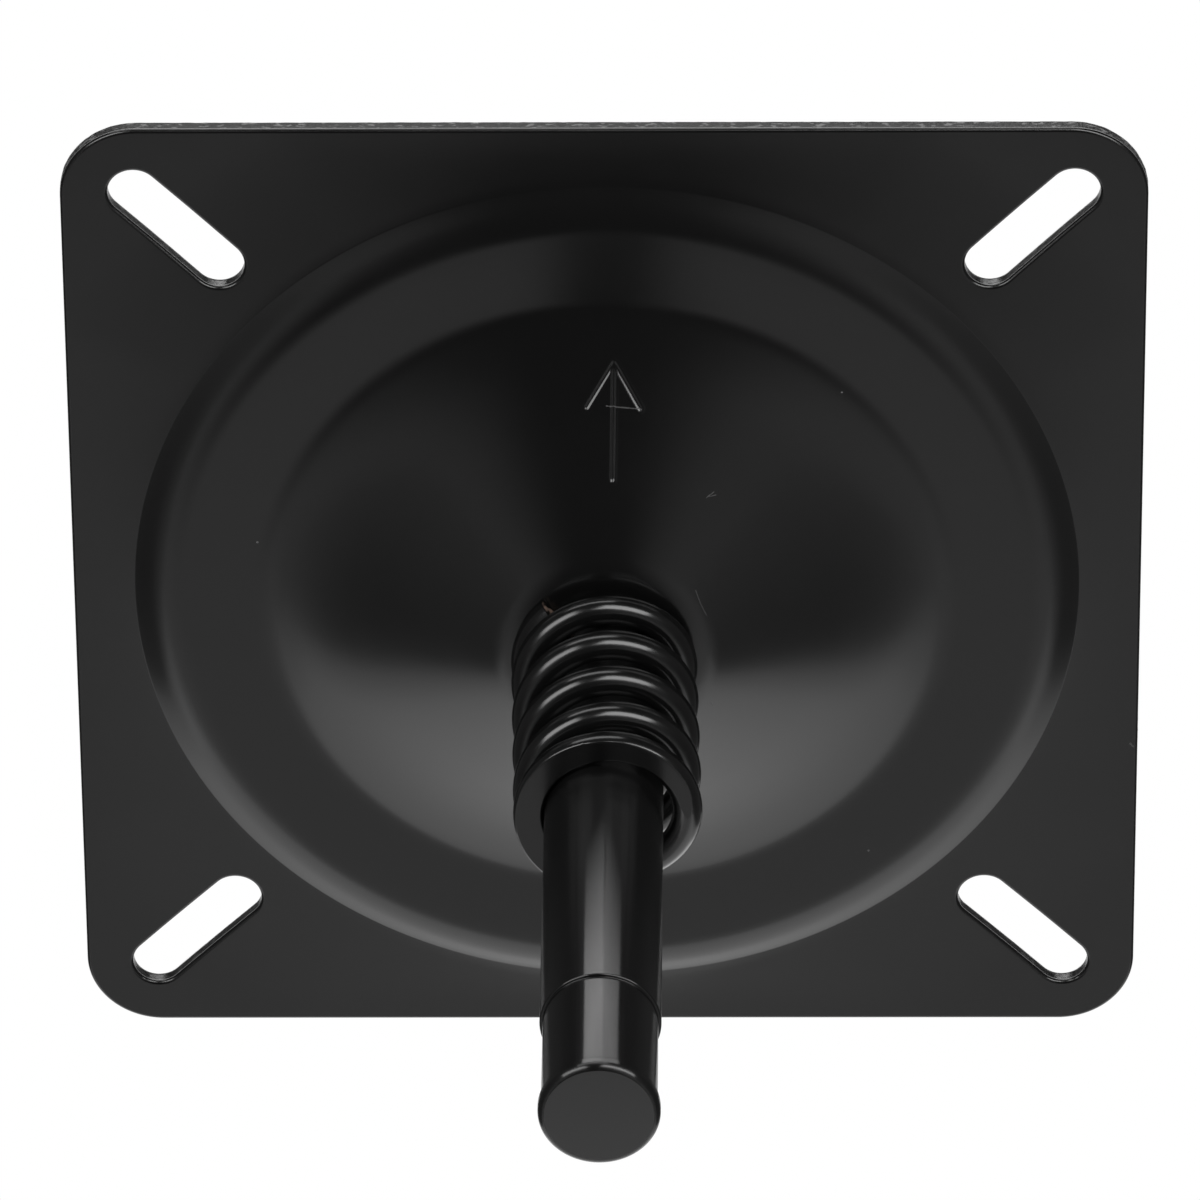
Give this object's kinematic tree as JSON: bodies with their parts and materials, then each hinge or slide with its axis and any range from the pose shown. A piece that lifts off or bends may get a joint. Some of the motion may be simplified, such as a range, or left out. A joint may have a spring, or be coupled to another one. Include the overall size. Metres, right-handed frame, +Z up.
{
  "type": "seat mount",
  "caption": "Square pressed steel plate with a dished centre and corner bolt slots, a downward swivel pin welded into the dish, and a coil spring round the pin.",
  "frame": {"origin": "on the pin's axis, in the plane of the seat face, at the middle of the four bolt slots", "axes": "+Z up towards the seat, as in use, with the pin pointing down; +Y away from the edge that the plate's arrow points to"},
  "size_m": [0.175, 0.175, 0.1503],
  "materials": {
    "plate_paint": "gloss black paint",
    "pin_paint": "gloss black paint over a turned pin",
    "spring_paint": "gloss black paint"
  },
  "bodies": {
    "mount": {"mounting_plate": "plate_paint", "pin_post": "pin_paint", "weld_bead": "plate_paint"},
    "spring": {"coil_spring": "spring_paint"}
  },
  "joints": [
    {"name": "spring_compress", "type": "slide", "parent": "mount", "child": "spring", "axis": [0, 0, 1], "range_m": [0, 0.019], "stiffness_N_per_m": 76000, "deforming": ["coil_spring"]}
  ]
}
